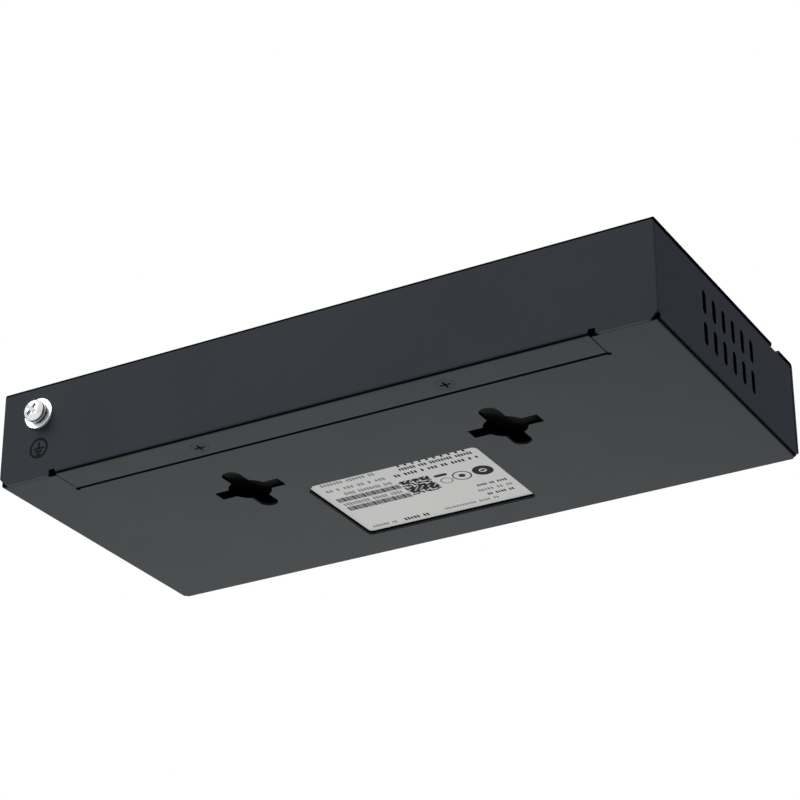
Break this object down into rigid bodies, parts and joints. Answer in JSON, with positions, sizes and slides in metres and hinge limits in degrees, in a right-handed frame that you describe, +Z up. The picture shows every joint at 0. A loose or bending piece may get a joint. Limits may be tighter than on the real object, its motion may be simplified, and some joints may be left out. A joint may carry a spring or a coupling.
{
  "type": "ethernet switch",
  "caption": "Low metal-cased desktop ethernet switch with ports along one long side, end-wall vents, cross-shaped hanging holes underneath and an earth screw at the rear.",
  "frame": {"origin": "on the flat underside, midway between the two hanging holes", "axes": "+X along the case, to the end with the earth screw; +Y to the rear wall, so the ports look along -Y; +Z up from the underside to the cover"},
  "size_m": [0.2, 0.0974, 0.029],
  "materials": {
    "case_paint": "fine textured powder coat",
    "bright_steel": "bright nickel plating",
    "dark_steel": "black zinc plating",
    "zinc_steel": "zinc plating",
    "shell_steel": "tinned sheet",
    "label_film": "printed silver-grey film",
    "board_laminate": "solder mask",
    "black_film": "smooth",
    "black_plastic": "moulded",
    "spring_gold": "gold flash",
    "lamp_clear": "clear",
    "epoxy_black": "moulded epoxy",
    "pad_grey": "soft",
    "sink_black": "black anodised",
    "can_aluminium": "drawn can",
    "ferrite_grey": "pressed ferrite"
  },
  "bodies": {
    "root": {"chassis_tray": "case_paint", "top_cover": "case_paint", "cover_hooks": "case_paint", "cover_screws": "dark_steel", "rating_label": "label_film", "ground_screw": "bright_steel", "ground_spring_washer": "bright_steel", "ground_flat_washer": "bright_steel", "ground_nut": "zinc_steel", "main_board": "board_laminate", "board_pillars": "zinc_steel", "board_screws": "zinc_steel", "insulating_film": "black_film", "power_socket": "black_plastic", "power_pin": "bright_steel", "lamp_holder": "black_plastic", "status_lamp": "lamp_clear", "switch_chip": "epoxy_black", "thermal_pad": "pad_grey", "heat_sink": "sink_black", "line_transformers": "epoxy_black", "uplink_transformer": "epoxy_black", "reservoir_capacitors": "can_aluminium", "supply_coil": "ferrite_grey", "supply_regulator": "epoxy_black", "memory_chip": "epoxy_black", "clock_crystal": "can_aluminium", "bank_one_shell": "shell_steel", "bank_one_housing": "black_plastic", "bank_one_contacts": "spring_gold", "bank_one_lamps": "lamp_clear", "bank_two_shell": "shell_steel", "bank_two_housing": "black_plastic", "bank_two_contacts": "spring_gold", "bank_two_lamps": "lamp_clear", "uplink_shell": "shell_steel", "uplink_housing": "black_plastic", "uplink_contacts": "spring_gold", "uplink_lamps": "lamp_clear"}
  },
  "joints": []
}
